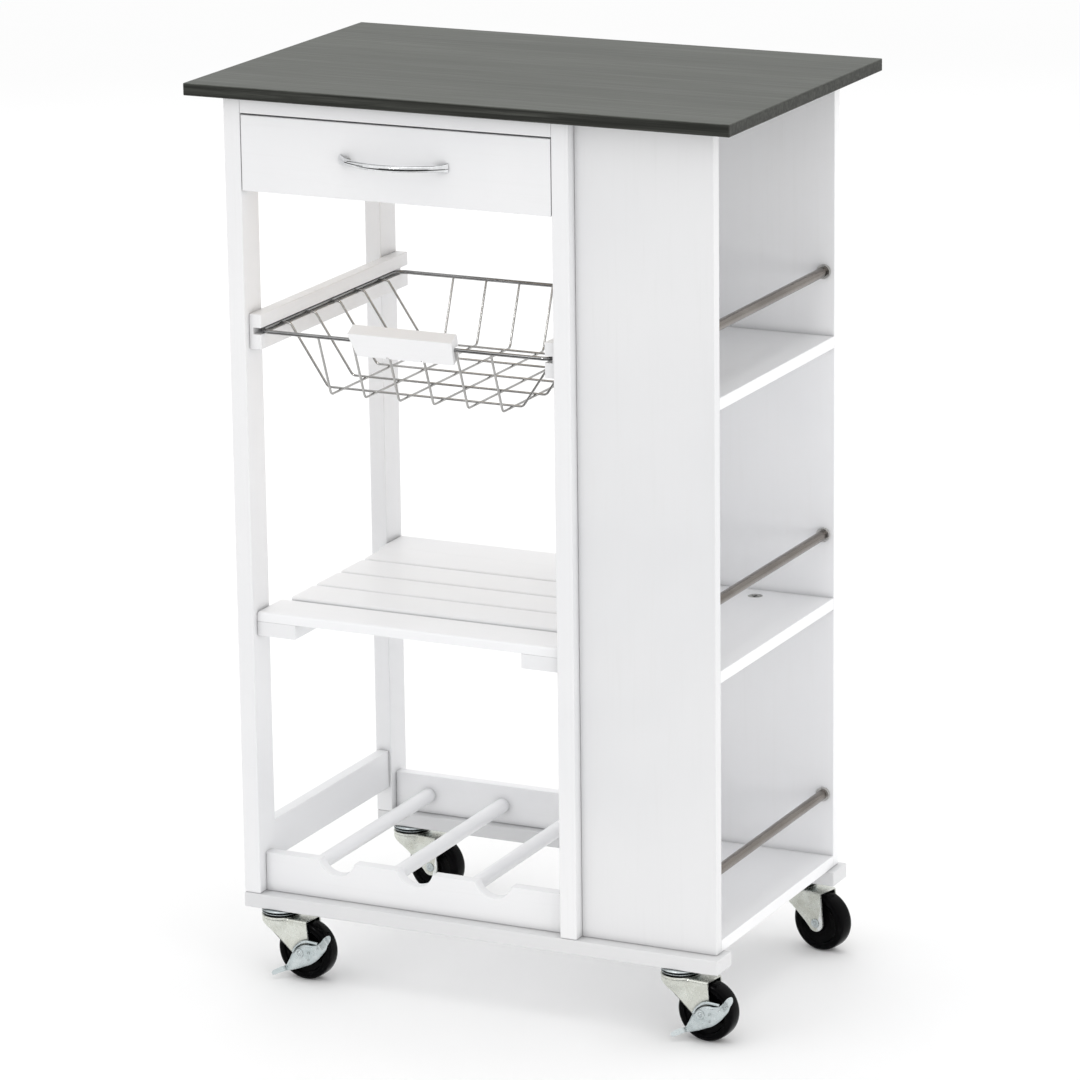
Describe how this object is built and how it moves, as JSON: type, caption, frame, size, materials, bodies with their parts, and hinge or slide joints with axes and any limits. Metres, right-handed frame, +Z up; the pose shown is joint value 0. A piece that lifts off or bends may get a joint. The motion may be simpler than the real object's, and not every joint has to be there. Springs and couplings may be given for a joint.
{
  "type": "rolling kitchen cart",
  "caption": "Rolling kitchen cart with a dark worktop, drawer, pull-out wire basket, slatted shelf, bottle rack and an open side compartment with guard rods.",
  "frame": {"origin": "centre of the outline on the floor, below the middle of the box around the whole cart", "axes": "+Z up, -Y towards the front with the drawer, +X towards the open side compartment"},
  "size_m": [0.57, 0.382, 0.9],
  "materials": {
    "anthracite_top": "matt anthracite wood-grain foil on board",
    "white_lacquer": "white satin lacquer on wood and board",
    "handle_chrome": "polished chrome",
    "basket_wire": "bright plated steel wire",
    "rod_steel": "satin steel tube",
    "zinc_plate": "pressed steel, bright zinc plate",
    "fitting_metal": "die-cast cam fitting",
    "wheel_black": "glossy black moulded plastic"
  },
  "bodies": {
    "carcass": {"worktop": "anthracite_top", "front_left_post": "white_lacquer", "back_left_post": "white_lacquer", "front_middle_post": "white_lacquer", "back_middle_post": "white_lacquer", "front_base_rail": "white_lacquer", "back_base_rail": "white_lacquer", "front_top_rail": "white_lacquer", "back_top_rail": "white_lacquer", "upper_left_side_board": "white_lacquer", "lower_left_side_board": "white_lacquer", "divider_panel": "white_lacquer", "compartment_front_board": "white_lacquer", "compartment_back_board": "white_lacquer", "upper_side_shelf": "white_lacquer", "middle_side_shelf": "white_lacquer", "bottom_side_panel": "white_lacquer", "cam_locks": "fitting_metal", "guard_rods": "rod_steel", "rod_collars": "rod_steel", "drawer_runner_left": "white_lacquer", "drawer_runner_right": "white_lacquer", "basket_runner_left": "white_lacquer", "basket_runner_right": "white_lacquer", "shelf_bearer_left": "white_lacquer", "shelf_bearer_right": "white_lacquer", "shelf_front_slat": "white_lacquer", "shelf_back_slat": "white_lacquer", "shelf_middle_slats": "white_lacquer", "rack_front_board": "white_lacquer", "rack_back_board": "white_lacquer", "rack_dowels": "white_lacquer", "caster_stems": "zinc_plate"},
    "drawer": {"drawer_front": "white_lacquer", "drawer_left_side": "white_lacquer", "drawer_right_side": "white_lacquer", "drawer_back": "white_lacquer", "drawer_bottom": "white_lacquer", "drawer_handle": "handle_chrome", "handle_screws": "zinc_plate"},
    "basket": {"basket_rim": "basket_wire", "basket_floor_grid": "basket_wire", "basket_end_wires": "basket_wire", "basket_side_wires": "basket_wire", "basket_grip": "white_lacquer"},
    "front_left_swivel": {"front_left_caster_fork": "zinc_plate", "front_left_caster_axle": "zinc_plate"},
    "front_left_wheel": {"front_left_caster_wheel": "wheel_black"},
    "front_left_brake": {"front_left_caster_brake_lever": "zinc_plate"},
    "front_right_swivel": {"front_right_caster_fork": "zinc_plate", "front_right_caster_axle": "zinc_plate"},
    "front_right_wheel": {"front_right_caster_wheel": "wheel_black"},
    "front_right_brake": {"front_right_caster_brake_lever": "zinc_plate"},
    "back_left_swivel": {"back_left_caster_fork": "zinc_plate", "back_left_caster_axle": "zinc_plate"},
    "back_left_wheel": {"back_left_caster_wheel": "wheel_black"},
    "back_right_swivel": {"back_right_caster_fork": "zinc_plate", "back_right_caster_axle": "zinc_plate"},
    "back_right_wheel": {"back_right_caster_wheel": "wheel_black"}
  },
  "joints": [
    {"name": "drawer_slide", "type": "slide", "parent": "carcass", "child": "drawer", "axis": [0, -1, 0], "range_m": [0, 0.2]},
    {"name": "basket_slide", "type": "slide", "parent": "carcass", "child": "basket", "axis": [0, -1, 0], "range_m": [0, 0.2]},
    {"name": "front_left_swivel_turn", "type": "hinge", "parent": "carcass", "child": "front_left_swivel", "pos_m": [-0.218, -0.1485, 0.0628], "axis": [0, 0, 1], "continuous": true},
    {"name": "front_left_wheel_spin", "type": "hinge", "parent": "front_left_swivel", "child": "front_left_wheel", "pos_m": [-0.18708, -0.15066, 0.03], "axis": [0.0698, 0.9976, 0], "continuous": true},
    {"name": "front_left_brake_tilt", "type": "hinge", "parent": "front_left_swivel", "child": "front_left_brake", "pos_m": [-0.18708, -0.15066, 0.03], "axis": [0.0698, 0.9976, 0], "range_deg": [0, 18]},
    {"name": "front_right_swivel_turn", "type": "hinge", "parent": "carcass", "child": "front_right_swivel", "pos_m": [0.218, -0.1485, 0.0628], "axis": [0, 0, 1], "continuous": true},
    {"name": "front_right_wheel_spin", "type": "hinge", "parent": "front_right_swivel", "child": "front_right_wheel", "pos_m": [0.24883, -0.15174, 0.03], "axis": [0.1045, 0.9945, 0], "continuous": true},
    {"name": "front_right_brake_tilt", "type": "hinge", "parent": "front_right_swivel", "child": "front_right_brake", "pos_m": [0.24883, -0.15174, 0.03], "axis": [0.1045, 0.9945, 0], "range_deg": [0, 18]},
    {"name": "back_left_swivel_turn", "type": "hinge", "parent": "carcass", "child": "back_left_swivel", "pos_m": [-0.218, 0.14, 0.0628], "axis": [0, 0, 1], "continuous": true},
    {"name": "back_left_wheel_spin", "type": "hinge", "parent": "back_left_swivel", "child": "back_left_wheel", "pos_m": [-0.1873, 0.13569, 0.03], "axis": [0.1392, 0.9903, 0], "continuous": true},
    {"name": "back_right_swivel_turn", "type": "hinge", "parent": "carcass", "child": "back_right_swivel", "pos_m": [0.218, 0.14, 0.0628], "axis": [0, 0, 1], "continuous": true},
    {"name": "back_right_wheel_spin", "type": "hinge", "parent": "back_right_swivel", "child": "back_right_wheel", "pos_m": [0.24821, 0.13303, 0.03], "axis": [0.225, 0.9744, 0], "continuous": true}
  ]
}
